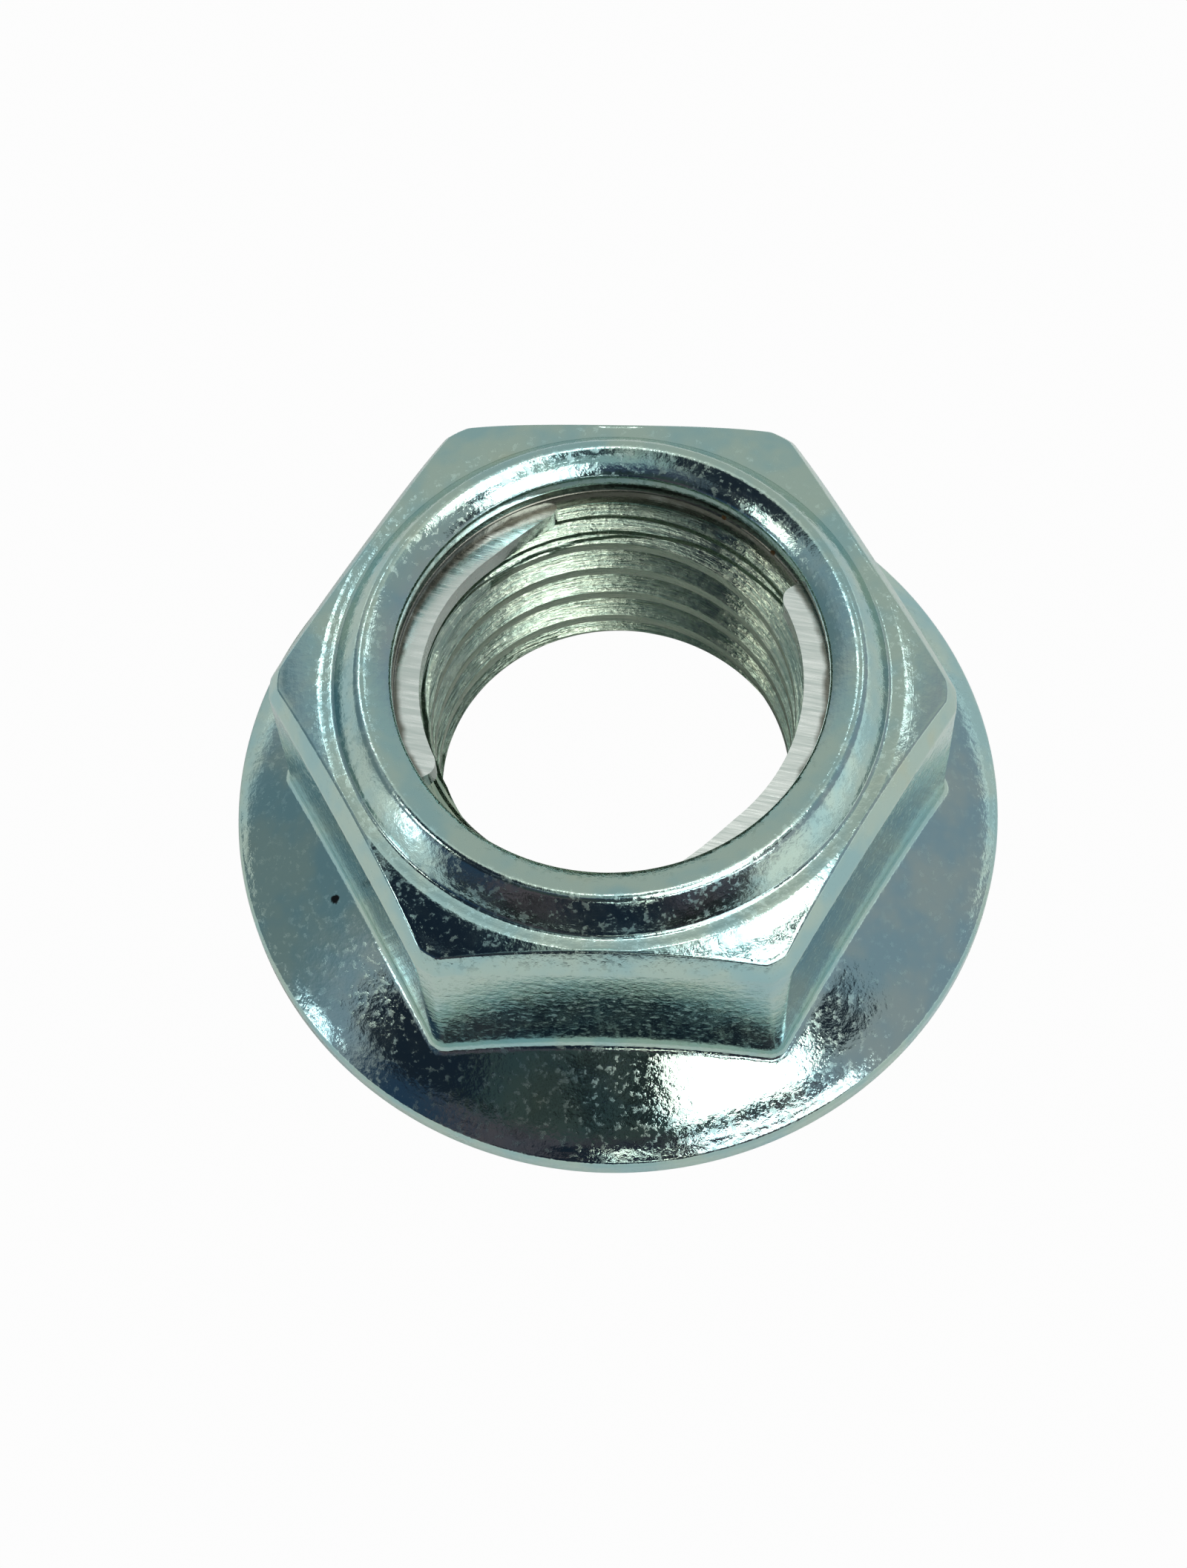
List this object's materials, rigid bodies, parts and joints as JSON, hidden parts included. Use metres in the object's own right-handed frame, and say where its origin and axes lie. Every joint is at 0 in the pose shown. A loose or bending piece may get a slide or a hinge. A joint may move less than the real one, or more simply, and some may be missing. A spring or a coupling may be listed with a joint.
{
  "type": "serrated hexagon flange nut",
  "caption": "Hexagon flange nut that resists loosening: a wide serrated bearing flange, and a rolled collar that holds a friction ring whose tabs grip the bolt.",
  "frame": {"origin": "centre of the bearing face, on the thread axis", "axes": "+Z along the thread axis, from the bearing face to the collar; +X through a corner of the hexagon"},
  "size_m": [0.023, 0.023, 0.0101],
  "materials": {
    "plated_body": "bright zinc plating with a blue-clear passivation, smooth and slightly mottled",
    "spring_ring": "bright zinc-plated spring steel with fine parallel grain"
  },
  "bodies": {
    "root": {"nut_body": "plated_body", "friction_ring": "spring_ring"}
  },
  "joints": []
}
